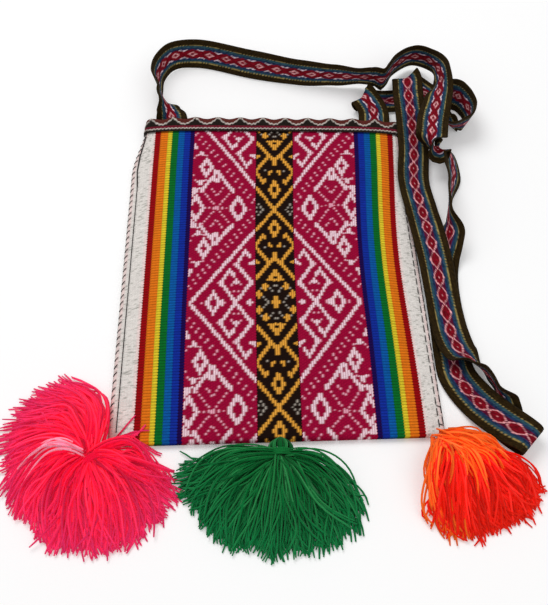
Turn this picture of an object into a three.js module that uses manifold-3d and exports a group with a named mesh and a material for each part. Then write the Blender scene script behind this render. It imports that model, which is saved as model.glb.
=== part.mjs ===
// Woven pouch lying on its back: one cloth folded at the bottom and sewn up both sides, a woven edging
// round the mouth, a carrying strap whose ends are sewn inside the mouth, and three yarn tassels.
// Millimetres, +Z up. The origin is on the table under the pouch, near its middle, and the mouth faces +Y.

import * as THREE from "three";
import { mergeVertices } from "three/addons/utils/BufferGeometryUtils.js";
import Module from "manifold-3d";

const wasm = await Module();
wasm.setup();

// Driving dimensions of the pouch
const POUCH_LENGTH = 245;
const LEFT_SIDE = 98.5;
const LEFT_TUCK = 8;
const TUCK_LENGTH = 45;
const RIGHT_AT_BOTTOM = 94.7;
const RIGHT_AT_MOUTH = 86.5;
const BOTTOM_SKEW = 2;
const MOUTH_SKEW = -2.5;
const CLOTH = 1.6;
const EDGE_HEIGHT = 5;
const PUFF = 7;
const PUFF_FULL_AT = 0.35;
const ROUNDNESS = { bottom: 4, mouth: 7 };
const MOUTH_LIFT = 1.7;
const BOTTOM_Y = -125.5;
const MOUTH_Y = BOTTOM_Y + POUCH_LENGTH;

// Warp stripes of the front, from the middle outward: each is a rib of the cloth
const RIB_HEIGHT = 0.45;
const CENTRE_PANEL_HALF = 12.8;
const PATTERN_PANEL = 43.2;
const STRIPES = [2.8, 4.2, 4.2, 4.5, 3.0, 5.2, 3.9];
const PLAIN_STEPS = 12;

// Edging round the mouth
const GAP = 0.3;
const EDGING_THICKNESS = 1.2;
const EDGING_DEPTH = 10;
const EDGING_RIM = 2;
const SCALLOP_PITCH = 15;
const SCALLOP_STEPS = 3;
const SCALLOP_HEIGHT = 0.7;

// Carrying strap
const STRAP_WIDTH = 22;
const STRAP_THICKNESS = 1.4;
const STRAP_STEP = 6;

// Tassels
const YARN_SIDES = 6;
const LOCK_ROOT = { halfWidth: 5, halfHeight: 6.5 };
const LOCK_END = { halfWidth: 8, halfHeight: 3.2 };
const WAIST_LENGTH = 16;
const TIE_WIDTH = 4;
const TIE_WALL = 1.6;

const vector = (x, y, z) => new THREE.Vector3(x, y, z);
const radians = THREE.MathUtils.degToRad;
const smooth = THREE.MathUtils.smoothstep;
const mix = THREE.MathUtils.lerp;

// A closed solid through rings of equal length that run counter-clockwise seen from the last ring
function loft(rings) {
  const count = rings[0].length;
  const last = (rings.length - 1) * count;
  const index = [];
  for (let ring = 0; ring < rings.length - 1; ring++) {
    for (let i = 0; i < count; i++) {
      const a = ring * count + i;
      const b = ring * count + ((i + 1) % count);
      index.push(a, b, b + count, a, b + count, a + count);
    }
  }
  for (let i = 1; i < count - 1; i++) {
    index.push(0, i + 1, i);
    index.push(last, last + i, last + i + 1);
  }
  const geometry = new THREE.BufferGeometry();
  const positions = rings.flat().flatMap((point) => point.toArray());
  geometry.setAttribute("position", new THREE.Float32BufferAttribute(positions, 3));
  geometry.setIndex(index);
  return geometry;
}

function manifoldOf(geometry) {
  const mesh = new wasm.Mesh({
    numProp: 3,
    vertProperties: new Float32Array(geometry.attributes.position.array),
    triVerts: new Uint32Array(geometry.index.array),
  });
  return new wasm.Manifold(mesh);
}

function geometryOf(manifold) {
  const mesh = manifold.getMesh();
  const geometry = new THREE.BufferGeometry();
  geometry.setAttribute("position", new THREE.Float32BufferAttribute(mesh.vertProperties, 3));
  geometry.setIndex(Array.from(mesh.triVerts));
  return geometry;
}

const solid = (rings) => manifoldOf(loft(rings));
const union = (solids) => wasm.Manifold.union(solids);

// Pouch: its section at a place along the length, grown outward by a margin (negative is inward)
function sectionAt(y, margin) {
  const along = (y - BOTTOM_Y) / POUCH_LENGTH;
  const fold = EDGE_HEIGHT / 2 + margin;
  const fromFold = Math.min(Math.max(y - BOTTOM_Y + margin, 0.05), fold);
  const half = Math.sqrt(fold ** 2 - (fold - fromFold) ** 2);
  const puff = PUFF * smooth(along, 0, PUFF_FULL_AT);
  const lift = MOUTH_LIFT * smooth(y, MOUTH_Y - 4 * EDGING_DEPTH, MOUTH_Y - EDGING_DEPTH);
  const corner = fold * (1 - half / fold);
  return {
    half,
    middle: lift + EDGE_HEIGHT / 2,
    puff: puff * (half / fold),
    left: LEFT_SIDE - LEFT_TUCK * smooth(y, MOUTH_Y - TUCK_LENGTH, MOUTH_Y) + margin - corner,
    right: mix(RIGHT_AT_BOTTOM, RIGHT_AT_MOUTH, along) + margin - corner,
    roundness: mix(ROUNDNESS.bottom, ROUNDNESS.mouth, along),
    ribs: smooth(along, 0.01, 0.05) * (1 - smooth(y, MOUTH_Y - 2 * EDGING_DEPTH, MOUTH_Y - EDGING_DEPTH)),
  };
}

// Where the rounding of the side that x is on begins
const flankAt = (section, x) => (x < 0 ? section.left : section.right) - section.half;

// The cloth lies a little askew: its bottom and its mouth slope opposite ways
function skew(x, y) {
  return (x / LEFT_SIDE) * mix(BOTTOM_SKEW, MOUTH_SKEW, (y - BOTTOM_Y) / POUCH_LENGTH);
}

// Height of the front at x, without the ribs
function frontHeight(section, x) {
  const share = Math.min(Math.abs(x) / flankAt(section, x), 1);
  return section.middle + section.half + section.puff * (1 - share ** section.roundness);
}

// Places across the front: each stripe has its two borders and its crest
function stripePlaces() {
  const places = [{ x: 0, crest: 0 }, { x: CENTRE_PANEL_HALF / 2, crest: 1 }];
  let x = CENTRE_PANEL_HALF;
  places.push({ x, crest: 0 });
  for (const share of [0.3, 0.7]) {
    places.push({ x: x + share * PATTERN_PANEL, crest: 1 });
  }
  x += PATTERN_PANEL;
  for (const width of STRIPES) {
    places.push({ x, crest: 0 }, { x: x + width / 2, crest: 1 });
    x += width;
  }
  places.push({ x, crest: 0 });
  const mirrored = places.slice(1).map(({ x, crest }) => ({ x: -x, crest }));
  return [...mirrored.reverse(), ...places];
}

const plainPlaces = (count) => {
  const reach = RIGHT_AT_MOUTH - EDGE_HEIGHT;
  return Array.from({ length: count + 1 }, (_, i) => ({ x: mix(-reach, reach, i / count), crest: 0 }));
};

// One ring of the pouch: round the left side, over the front, round the right side, back underneath
function pouchRing(y, margin, places, shiftY = () => 0) {
  const section = sectionAt(y, margin);
  const ring = [];
  const addPoint = (x, z, shift) => ring.push(vector(x, y + skew(x, y) + shift, z));
  const addSide = (degrees) => {
    const outward = Math.cos(radians(degrees));
    const x = Math.sign(outward) * flankAt(section, outward) + section.half * outward;
    addPoint(x, section.middle + section.half * Math.sin(radians(degrees)), 0);
  };
  [180, 135, 91].forEach(addSide);
  for (const { x, crest } of places) {
    addPoint(x, frontHeight(section, x) + crest * RIB_HEIGHT * section.ribs, shiftY(x));
  }
  [89, 45, 0, -45, -89].forEach(addSide);
  for (const { x } of [...places].reverse().filter((place) => place.crest === 0)) {
    addPoint(x, section.middle - section.half, shiftY(x));
  }
  [-91, -135].forEach(addSide);
  return ring;
}

const foldStations = (margin) => [0, 0.8, 2.5].map((y) => BOTTOM_Y - margin + y);
const openStations = [-115, -95, -65, -30, 10, 50, 75, 95, MOUTH_Y - EDGING_DEPTH];

function pouchSolid(margin, places, mouth) {
  const stations = [...foldStations(margin), ...openStations, mouth];
  return solid(stations.map((y) => pouchRing(y, margin, places)));
}

function pouchBody() {
  const outside = pouchSolid(0, stripePlaces(), MOUTH_Y);
  const inside = pouchSolid(-CLOTH, plainPlaces(PLAIN_STEPS), MOUTH_Y + 1);
  return outside.subtract(inside);
}

function mouthEdging() {
  const places = plainPlaces(Math.round((SCALLOP_STEPS * 2 * RIGHT_AT_MOUTH) / SCALLOP_PITCH));
  const scallop = (x) => SCALLOP_HEIGHT * Math.cos((2 * Math.PI * x) / SCALLOP_PITCH);
  const start = MOUTH_Y - EDGING_DEPTH;
  const end = MOUTH_Y + EDGING_RIM;
  const sleeve = (margin, from, to, shiftY) => solid([
    pouchRing(from, margin, places),
    pouchRing(to, margin, places, shiftY),
  ]);
  const outside = sleeve(GAP + EDGING_THICKNESS, start, end, scallop);
  const seat = sleeve(GAP, start - 1, MOUTH_Y + GAP);
  const opening = sleeve(-CLOTH, start - 1, end + 2);
  return outside.subtract(seat).subtract(opening);
}

// Route of the strap from its left end to its right: place of its middle, then the direction of its
// width as an azimuth and a tilt in degrees. Tilts near 90 are runs that stand on edge.
const STRAP_ROUTE = [
  [-73, 97, 4.2, 0, 0],
  [-73, 126, 5, 0, 0],
  [-75.5, 134, 8.2, 0, -36],
  [-79.5, 141, 11.4, 4, -68],
  [-82, 148, 11.8, 0, -86],
  [-85, 161.5, 11.6, -6, -72],
  [-83.5, 173, 11.6, -22, -72],
  [-75, 185.5, 11.4, -56, -72],
  [-56, 188.5, 11, -92, -68],
  [-16, 176.5, 11, -97, -68],
  [19, 167, 11.4, -97, -81],
  [44, 163, 12.4, -96, -94],
  [62, 160, 14, -92, -108],
  [72, 157.5, 15.4, -74, -104],
  [78, 154.5, 16, -36, -95],
  [82, 159.5, 16, -14, -92],
  [88.5, 171, 15, -32, -95],
  [102.5, 180.5, 14.5, -88, -98],
  [115, 172.5, 17, -143, -95],
  [120, 153.5, 20.3, 178, -66],
  [115, 131, 20.5, 163, -28],
  [109.5, 110.5, 20, 163, -4],
  [107, 95.5, 20.5, 163, 0],
  [106.5, 90, 18, 109, -54],
  [110.5, 85.5, 15.5, 55, 0],
  [117.5, 86, 13.8, 40, -50],
  [120, 71.5, 10.8, 12, -52],
  [116, 52, 11.6, 0, -76],
  [113, 33, 11.8, -10, -90],
  [112.4, 17.5, 7.4, 168, -36],
  [107.5, 6, 3.6, 176, -12],
  [105, -5, 1.8, 182, 0],
  [104, -16.5, 1, 188, 0],
  [104.5, -50.5, 1, 190, 0],
  [104.6, -70, 1.8, 198, 0],
  [106, -85, 3.8, 210, -12],
  [115, -103, 6.8, 226, -24],
  [127.5, -118.5, 10.8, 232, -16],
  [140, -129.5, 12.5, 228, 0],
  [141.5, -131, 10.5, 228, 0],
  [140, -129.5, 8.5, 228, 0],
  [130.5, -115.5, 3.6, 212, -10],
  [128, -105, 8, 200, -42],
  [126, -96.5, 11.4, 30, -76],
  [122.3, -88, 11.6, 30, -76],
  [116.3, -80, 10.4, 25, -56],
  [109, -70, 7, 20, -8],
  [105.5, -56.5, 4.6, 15, 0],
  [103, -29.5, 4.6, 13, -4],
  [101, -2, 7.4, 13, 0],
  [98.5, 21.5, 7.8, 14, 0],
  [96, 42.5, 7, 12, -6],
  [93.5, 66, 7, 4, -9],
  [96, 93.5, 7, 2, -10],
  [96.5, 121.5, 10, 4, -3],
  [96, 144.5, 12.6, 5, 0],
  [96.5, 157.5, 13, 5, 0],
  [96.5, 160, 10.9, 28, 24],
  [99, 159, 8.8, 52, 0],
  [111.5, 145.5, 6.9, 53, 0],
  [118.5, 125, 6.2, 75, -8],
  [125, 114, 10.2, 108, -52],
  [134, 115, 11.6, 150, -72],
  [138.5, 125, 11.6, 190, -74],
  [134.8, 138.5, 11, 250, -60],
  [130.5, 145.5, 9, 264, -40],
  [124.5, 150, 5.6, 270, -16],
  [117, 151.5, 2.4, 275, -3],
  [107, 151, 1.3, 275, 0],
  [83, 146.5, 1.9, 268, 0],
  [66.5, 146, 4.6, 260, 0],
  [64, 146, 6.6, 238, -22],
  [65, 143.5, 8.6, 215, 0],
  [70.5, 134, 5.8, 206, 0],
  [70.5, 117, 4.6, 182, 0],
  [70, 96, 3.8, 180, 0],
];

// Stations along the strap, each with its middle and the frame of its section
function strapStations() {
  const middles = STRAP_ROUTE.map(([x, y, z]) => vector(x, y, z));
  const widths = STRAP_ROUTE.map(([, , , azimuth, tilt]) => vector(
    Math.cos(radians(azimuth)) * Math.cos(radians(tilt)),
    Math.sin(radians(azimuth)) * Math.cos(radians(tilt)),
    Math.sin(radians(tilt)),
  ));
  const curve = new THREE.CatmullRomCurve3(middles, false, "centripetal");
  const spans = middles.length - 1;
  const stations = [];
  for (let span = 0; span < spans; span++) {
    const length = middles[span].distanceTo(middles[span + 1]);
    const steps = Math.max(2, Math.ceil(length / STRAP_STEP));
    for (let step = 0; step < steps + (span === spans - 1 ? 1 : 0); step++) {
      const share = step / steps;
      const along = (span + share) / spans;
      const tangent = curve.getTangent(along);
      const across = widths[span].clone().lerp(widths[span + 1], smooth(share, 0, 1));
      across.addScaledVector(tangent, -across.dot(tangent)).normalize();
      const face = across.clone().cross(tangent);
      stations.push({ middle: curve.getPoint(along), across, face });
    }
  }
  return stations;
}

// Sections of the strap at its stations, grown outward by a margin
function strapRings(margin) {
  const halfWidth = STRAP_WIDTH / 2 + margin;
  const halfThickness = STRAP_THICKNESS / 2 + margin;
  const corners = [[-1, -1], [-1, 1], [1, 1], [1, -1]];
  return strapStations().map(({ middle, across, face }) => corners.map(([side, top]) =>
    middle.clone().addScaledVector(across, side * halfWidth).addScaledVector(face, top * halfThickness)));
}

// Room that the strap takes up with a margin: short lengths, so that its tight folds stay sound
function strapRoom(margin) {
  const rings = strapRings(margin);
  return union(rings.slice(1).map((ring, i) => solid([rings[i], ring])));
}

// An oval of yarn about a point, facing a level or sloping direction
function yarnRing(centre, direction, halfWidth, halfHeight) {
  const across = vector(-direction.y, direction.x, 0).normalize();
  const upward = direction.clone().cross(across);
  return Array.from({ length: YARN_SIDES }, (_, i) => {
    const angle = (2 * Math.PI * (i + 0.5)) / YARN_SIDES;
    return centre.clone()
      .addScaledVector(across, halfWidth * Math.cos(angle))
      .addScaledVector(upward, halfHeight * Math.sin(angle));
  });
}

// A lock of yarn that leaves the tie, arches over and falls to the table, spreading and thinning
function lock(root, azimuth, reach, rise, fall) {
  const away = vector(Math.cos(radians(azimuth)), Math.sin(radians(azimuth)), 0);
  const crown = root.clone().addScaledVector(away, 0.5 * reach).setZ(rise);
  const end = root.clone().addScaledVector(away, reach).setZ(fall);
  const curve = new THREE.QuadraticBezierCurve3(root, crown, end);
  const shares = [0, 0.5, 1];
  return solid(shares.map((share) => yarnRing(
    curve.getPoint(share),
    curve.getTangent(share),
    mix(LOCK_ROOT.halfWidth, LOCK_END.halfWidth, share),
    mix(LOCK_ROOT.halfHeight, LOCK_END.halfHeight, share),
  )));
}

// Locks spread over a fan, their lengths and heights uneven in a repeatable way
function fan({ root, from, to, count, reach, rise, fall }) {
  return Array.from({ length: count }, (_, i) => {
    const uneven = 0.5 + 0.5 * Math.sin(2.4 * i + from);
    const azimuth = mix(from, to, i / (count - 1));
    return lock(root, azimuth, reach * mix(0.86, 1, uneven), rise * mix(1, 0.8, uneven), fall);
  });
}

// A straight round of yarn from one point to another
function stem(from, to, radius) {
  const direction = to.clone().sub(from).normalize();
  return solid([yarnRing(from, direction, radius, radius), yarnRing(to, direction, radius, radius)]);
}

// Drops the seams that three's own solids leave between equal points
function closed(geometry) {
  const plain = new THREE.BufferGeometry();
  plain.setAttribute("position", geometry.attributes.position);
  return mergeVertices(plain);
}

// A place off the bottom of the pouch
const below = (x, down, z) => vector(x, BOTTOM_Y - down, z);

// Tassels: a head against the pouch, a tie round the waist, and fans of locks from both sides of it
const TASSELS = [
  {
    name: "pink_tassel",
    colour: 0xff1f5c,
    tie: { centre: below(-104, 16.5, 13), azimuth: 125, radius: 7 },
    head: { centre: below(-94, 4.5, 8.5), radius: 7.5 },
    fans: [
      { root: below(-108, 11.5, 9), from: 62, to: 208, count: 8, reach: 57, rise: 22, fall: 3.2 },
      { root: below(-108, 11.5, 15), from: 75, to: 195, count: 4, reach: 36, rise: 34, fall: 13 },
      { root: below(-101, 21.5, 9), from: 212, to: 382, count: 9, reach: 45, rise: 22, fall: 3.2 },
      { root: below(-101, 21.5, 15), from: 225, to: 365, count: 4, reach: 36, rise: 34, fall: 13 },
    ],
  },
  {
    name: "green_tassel",
    colour: 0x00782d,
    tie: { centre: below(0, 11.5, 9), azimuth: -90, radius: 6 },
    head: { centre: below(0, 4.5, 9), radius: 7.5 },
    fans: [
      { root: below(0, 15.5, 8), from: -172, to: -18, count: 11, reach: 56, rise: 16, fall: 3.2 },
      { root: below(0, 15.5, 11), from: -150, to: -30, count: 6, reach: 40, rise: 27, fall: 10 },
    ],
  },
  {
    name: "orange_tassel",
    colour: 0xff5a14,
    tie: { centre: below(96, 11.5, 9.5), azimuth: -60, radius: 6.5 },
    head: { centre: below(91, 4, 9), radius: 7.5 },
    fans: [
      { root: below(99, 14.5, 9), from: -108, to: -4, count: 9, reach: 51, rise: 18, fall: 3.2 },
      { root: below(98, 15.5, 12), from: -98, to: -30, count: 4, reach: 38, rise: 32, fall: 11 },
    ],
  },
];

// The largest of a solid's separate pieces
function mainPiece(manifold) {
  return manifold.decompose().sort((a, b) => b.volume() - a.volume())[0];
}

function tassel({ tie, head, fans }, obstacles) {
  const direction = vector(Math.cos(radians(tie.azimuth)), Math.sin(radians(tie.azimuth)), 0);
  const round = (radius, length) => stem(
    tie.centre.clone().addScaledVector(direction, -length / 2),
    tie.centre.clone().addScaledVector(direction, length / 2),
    radius,
  );
  const knob = new THREE.IcosahedronGeometry(head.radius, 1).translate(...head.centre.toArray());
  const grip = round(tie.radius, WAIST_LENGTH);
  const bandRadius = tie.radius + GAP + TIE_WALL;
  const room = round(bandRadius + GAP, TIE_WIDTH + 2 * GAP).subtract(grip);
  const band = round(bandRadius, TIE_WIDTH).subtract(round(tie.radius + GAP, WAIST_LENGTH));
  const bulk = union([
    manifoldOf(closed(knob)),
    grip,
    stem(head.centre, tie.centre, tie.radius),
    ...fans.flatMap(fan),
  ]);
  const yarn = obstacles.reduce((rest, obstacle) => rest.subtract(obstacle), bulk.subtract(room));
  return { yarn: mainPiece(yarn), band };
}

const group = new THREE.Group();
group.name = "woven_pouch";

function addPart(name, geometry, colour, roughness) {
  geometry.computeVertexNormals();
  const material = new THREE.MeshStandardMaterial({ color: colour, roughness, metalness: 0 });
  const mesh = new THREE.Mesh(geometry, material);
  mesh.name = name;
  group.add(mesh);
}

addPart("pouch_body", geometryOf(pouchBody()), 0x9b0f3d, 0.9);
addPart("mouth_edging", geometryOf(mouthEdging()), 0x5a1418, 0.9);
addPart("strap", geometryOf(solid(strapRings(0))), 0x3a2a0a, 0.9);

const pouchRoom = pouchSolid(GAP + RIB_HEIGHT, plainPlaces(PLAIN_STEPS), MOUTH_Y);
const obstacles = [pouchRoom, strapRoom(GAP)];
for (const spec of TASSELS) {
  const { yarn, band } = tassel(spec, obstacles);
  addPart(`${spec.name}_yarn`, geometryOf(yarn), spec.colour, 0.95);
  addPart(`${spec.name}_tie`, geometryOf(band), spec.colour, 0.9);
}

export default group;
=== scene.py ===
# Woven pouch lying on its back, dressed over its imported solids: patterned cloth, woven edging, strap
# and yarn tassels. Lengths are in millimetres until a mesh is made, in the row frame: +Y towards the
# mouth, +Z up from the floor.

import math
import bpy
import numpy as np
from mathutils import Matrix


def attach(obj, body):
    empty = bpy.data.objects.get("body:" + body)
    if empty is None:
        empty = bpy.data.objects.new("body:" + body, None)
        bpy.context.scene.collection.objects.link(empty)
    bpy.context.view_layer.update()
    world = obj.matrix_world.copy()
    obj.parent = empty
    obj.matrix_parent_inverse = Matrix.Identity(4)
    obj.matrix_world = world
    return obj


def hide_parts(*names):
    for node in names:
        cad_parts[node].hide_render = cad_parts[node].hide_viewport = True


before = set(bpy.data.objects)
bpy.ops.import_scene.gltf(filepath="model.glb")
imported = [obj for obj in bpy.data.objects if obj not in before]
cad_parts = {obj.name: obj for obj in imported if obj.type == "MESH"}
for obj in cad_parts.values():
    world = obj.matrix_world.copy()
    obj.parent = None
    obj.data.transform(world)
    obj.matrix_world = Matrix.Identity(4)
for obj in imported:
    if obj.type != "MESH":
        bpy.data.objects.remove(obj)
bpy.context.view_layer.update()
scene = bpy.context.scene

MM = 0.001
SEED = 7

# Pouch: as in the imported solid, but its front is flatter at the mouth
POUCH_LENGTH = 245
BOTTOM_Y = -125.5
MOUTH_Y = BOTTOM_Y + POUCH_LENGTH
LEFT_SIDE = 98.5
LEFT_TUCK = 8
TUCK_LENGTH = 45
RIGHT_AT_BOTTOM = 94.7
RIGHT_AT_MOUTH = 86.5
BOTTOM_SKEW = 2
MOUTH_SKEW = -2.5
EDGE_HEIGHT = 5
FOLD = EDGE_HEIGHT / 2
PUFF = 7
MOUTH_PUFF = 2.5
PUFF_RISE_SHARE = 0.35
SQUARENESS = (4, 7)
EDGING_DEPTH = 10
MOUTH_LIFT = 1.7
LIFT_LENGTH = 4 * EDGING_DEPTH

# Weave of the cloth: columns of warp across, picks of weft along
COLUMN = 1.44
REPEAT = 75
HALF_REPEAT = REPEAT / 2
PICK_PLACES = (BOTTOM_Y, -35.6, 37.5, MOUTH_Y)
PICK_COUNTS = (-11, HALF_REPEAT, REPEAT, 112.8)
FRONT_ROWS_PER_PICK = 3
BACK_ROWS_PER_PICK = 1
FOLD_ROWS = 6
ROW_GAP = 0.3
RIM_GAP = 1
CENTRE_COLUMNS = 9
CENTRE_HALF = 12.8
PANEL_COLUMNS = 30
PANEL_EDGE = 56
STRIPES = [(2.8, "navy"), (4.2, "blue"), (4.2, "light_blue"), (4.5, "green"),
           (3.0, "yellow"), (5.2, "orange"), (3.9, "red")]
STRIPE_COLUMN = 2.1
STRIPE_EDGE = PANEL_EDGE + sum(width for width, _ in STRIPES)
WHITE_COLUMNS = 7
EDGE_COLUMNS = 2
WAIST = 6
WAIST_Y = 5
WAIST_REACH = 85
LEFT_BOW = 0.8
RIGHT_BOW = 1.8
COLUMN_SLIP = 0.2

# Relief of the cloth, and shades of its yarn from the valleys of the ribs to their tops: painted shade
# in the valleys and painted light on the tops, and painted shade in the furrows between columns
RELIEF = 0.3
GROUND_HEIGHTS = (0.4, 0.6)
ZIGZAG = 0.35
BORDER_GAP = 0.12
# painted shade in the rib valleys and painted light on the rib tops, for the ground, the stripes and the
# white
GROUND_RIB_LIGHTING = (0.7, 1.2)
STRIPE_RIB_LIGHTING = (0.52, 1.13)
WHITE_RIB_LIGHTING = (0.92, 1.03)
SHADE_SPREAD = 0.06
FLECKED = 0.08
# colour in the furrows between columns is the yarn's colour darkened: painted shade
PATTERN_FURROW_SHADE = 0.72
PLAIN_FURROW_SHADE = 0.88
YARN_SHOWN_BETWEEN = 0.52

COLOURS = {
    "crimson": "a00436", "pattern_white": "ffe2ec", "pattern_dot": "f4b0c4",
    "gold": "fab042", "black": "1c0d08", "speck": "aea498",
    "navy": "1e0550", "blue": "1230a0", "light_blue": "0a5caa",
    "green": "08702a", "yellow": "ecd230", "orange": "f07c18",
    "red": "a0060e", "white": "ece6e0", "fleck": "b0aea6",
    "blush": "f6dcd8", "thread": "3a3433", "strap_brown": "2a1e08",
    "strap_line": "92804a", "strap_blue": "203254", "strap_teal": "2a4c58",
    "strap_purple": "5a0c2c", "strap_maroon": "7a081a", "strap_pink": "e2a0a4",
    "strap_white": "e0ccd6", "edging_maroon": "6a1426", "edging_brown": "5a2620",
    "edging_dark": "1e1712", "edging_white": "b8aea6", "pink_yarn": "ff0c40",
    # the tip colours are painted light on the thin ends of the tassel strands
    "pink_tip": "ff3c80", "pale_pink_yarn": "ff9ab4", "green_yarn": "007030",
    "green_tip": "129050", "orange_yarn": "ff6a1c", "red_orange_yarn": "f81a04",
    "orange_tip": "f42208",
}


def linear(name):
    """A colour from its sRGB code as linear light."""
    code = COLOURS[name]
    srgb = np.array([int(code[i:i + 2], 16) for i in (0, 2, 4)]) / 255
    return np.where(srgb <= 0.04045, srgb / 12.92, ((srgb + 0.055) / 1.055) ** 2.4)


def mix(a, b, share):
    return a + (b - a) * share


def smooth(x, low, high):
    t = np.clip((x - low) / (high - low), 0, 1)
    return t * t * (3 - 2 * t)


def unit(vectors):
    return vectors / np.linalg.norm(vectors, axis=-1, keepdims=True)


def painted(colour, where, name):
    """Colours with one of the named colours laid over them."""
    return np.where(where[..., None], linear(name), colour)


def speckled(rng, colours, spread, limits):
    """Colours that differ in brightness from point to point."""
    return colours * rng.normal(1, spread, colours.shape[:-1]).clip(*limits)[..., None]


# Meshes
def add_object(name, data):
    added = bpy.data.objects.new(name, data)
    scene.collection.objects.link(added)
    return added


def make_object(name, points, faces, colours, material, uvs=None):
    """A smooth mesh object from points in millimetres, with a colour for each point."""
    points = points.reshape(-1, 3)
    mesh = bpy.data.meshes.new(name)
    corners = [list(map(int, face)) for face in faces]
    mesh.from_pydata((points * MM).tolist(), [], corners, shade_flat=False)
    layer = mesh.color_attributes.new("weave", "FLOAT_COLOR", "POINT")
    opaque = np.c_[colours.reshape(-1, 3), np.ones(len(points))]
    layer.data.foreach_set("color", opaque.astype(np.float32).ravel())
    if uvs is not None:
        by_corner = uvs.reshape(-1, 2)[np.concatenate(corners)]
        along = mesh.uv_layers.new(name="along")
        along.data.foreach_set("uv", by_corner.astype(np.float32).ravel())
    mesh.materials.append(material)
    mesh.update()
    return add_object(name, mesh)


def grid_faces(rows, columns, closed=False):
    """Faces of a grid of points numbered row by row; closed joins the last column to the first."""
    spans = columns if closed else columns - 1
    row, column = np.mgrid[0:rows - 1, 0:spans]
    after = (column + 1) % columns
    corners = [row * columns + column, row * columns + after,
               (row + 1) * columns + after, (row + 1) * columns + column]
    return np.stack(corners, axis=-1).reshape(-1, 4)


# Materials
YARN_SPECULAR = 0.08
SHEEN_ROUGHNESS = 0.5
FIBRE_DETAIL = 3
FIBRE_NOISE = (0.3, 0.7)
FIBRE_SHADES = (0.82, 1.12)
BUMP_STRENGTH = 0.5
PLY_DISTORTION = 0.6


def set_inputs(node, values):
    for socket, value in values.items():
        node.inputs[socket].default_value = value


def add_node(tree, kind, inputs=None, **settings):
    """A new shader node with its inputs and its other settings."""
    node = tree.nodes.new(kind)
    set_inputs(node, inputs or {})
    for setting, value in settings.items():
        setattr(node, setting, value)
    return node


def yarn_material(name, roughness, sheen, fibre_size, fibre_depth, ply=None, glow=0):
    """Yarn that takes its colour from the mesh, with fine fibres and, along tubes, a twisted ply; glow is
    emission that stands in for a fluorescent dye and also lifts the shade between strands, painted light."""
    material = bpy.data.materials.new(name)
    material.use_nodes = True
    tree = material.node_tree
    link = tree.links.new
    shader = tree.nodes["Principled BSDF"]
    set_inputs(shader, {"Roughness": roughness, "Specular IOR Level": YARN_SPECULAR, "Sheen Weight": sheen,
                        "Sheen Roughness": SHEEN_ROUGHNESS, "Emission Strength": glow})
    colour = add_node(tree, "ShaderNodeAttribute", attribute_name="weave")
    place = add_node(tree, "ShaderNodeTexCoord")
    fibres = add_node(tree, "ShaderNodeTexNoise", {"Scale": 1 / (fibre_size * MM), "Detail": FIBRE_DETAIL})
    link(place.outputs["Object"], fibres.inputs["Vector"])
    shade = add_node(tree, "ShaderNodeMapRange", {
        "From Min": FIBRE_NOISE[0], "From Max": FIBRE_NOISE[1],
        "To Min": FIBRE_SHADES[0], "To Max": FIBRE_SHADES[1]})
    link(fibres.outputs["Fac"], shade.inputs["Value"])
    tint = add_node(tree, "ShaderNodeVectorMath", operation="SCALE")
    link(colour.outputs["Color"], tint.inputs[0])
    link(shade.outputs["Result"], tint.inputs["Scale"])
    link(tint.outputs["Vector"], shader.inputs["Base Color"])
    link(tint.outputs["Vector"], shader.inputs["Emission Color"])
    bump = add_node(tree, "ShaderNodeBump", {"Strength": BUMP_STRENGTH, "Distance": fibre_depth * MM})
    height = fibres.outputs["Fac"]
    if ply is not None:
        along = add_node(tree, "ShaderNodeUVMap", uv_map="along")
        twist = add_node(tree, "ShaderNodeTexWave", {"Scale": ply, "Distortion": PLY_DISTORTION},
                         wave_type="BANDS", bands_direction="DIAGONAL")
        link(along.outputs["UV"], twist.inputs["Vector"])
        both = add_node(tree, "ShaderNodeMath", operation="ADD")
        link(fibres.outputs["Fac"], both.inputs[0])
        link(twist.outputs["Fac"], both.inputs[1])
        height = both.outputs["Value"]
    link(height, bump.inputs["Height"])
    link(bump.outputs["Normal"], shader.inputs["Normal"])
    return material


WOVEN = {"roughness": 0.9, "fibre_size": 0.5, "fibre_depth": 0.12}
LOOSE = {"roughness": 0.85, "sheen": 0.06, "fibre_size": 0.6, "fibre_depth": 0.1, "ply": 0.5}
cloth_finish = yarn_material("cloth_yarn", sheen=0, **WOVEN)
strap_finish = yarn_material("strap_yarn", sheen=0.02, **WOVEN)
edging_finish = yarn_material("edging_yarn", sheen=0.03, **WOVEN)
thread_finish = yarn_material("sewing_thread", sheen=0.03, **(WOVEN | {"fibre_depth": 0.05}))
tassel_finish = yarn_material("tassel_yarn", **LOOSE)
# the pink and orange tassels glow: emission for their fluorescent dye that also lifts their shade, painted
# light
glowing_finish = yarn_material("glowing_tassel_yarn", glow=0.12, **LOOSE)


# Form of the pouch
def section(y):
    """Half thickness, height of the middle, puff, both flanks and squareness of the pouch across y."""
    along = (y - BOTTOM_Y) / POUCH_LENGTH
    from_fold = np.clip(y - BOTTOM_Y, 0, FOLD)
    half = np.sqrt(FOLD ** 2 - (FOLD - from_fold) ** 2)
    lift = MOUTH_LIFT * smooth(y, MOUTH_Y - LIFT_LENGTH, MOUTH_Y - EDGING_DEPTH)
    top = mix(PUFF, MOUTH_PUFF, smooth(y, MOUTH_Y - TUCK_LENGTH, MOUTH_Y - EDGING_DEPTH / 2))
    puff = top * smooth(along, 0, PUFF_RISE_SHARE) * half / FOLD
    left = LEFT_SIDE - LEFT_TUCK * smooth(y, MOUTH_Y - TUCK_LENGTH, MOUTH_Y) - FOLD
    right = mix(RIGHT_AT_BOTTOM, RIGHT_AT_MOUTH, along) - FOLD
    return half, lift + FOLD, puff, left, right, mix(*SQUARENESS, along)


def crown(x, flank, puff, square):
    """How far the front stands out above its flanks."""
    return puff * (1 - np.minimum(np.abs(x) / flank, 1) ** square)


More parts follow.
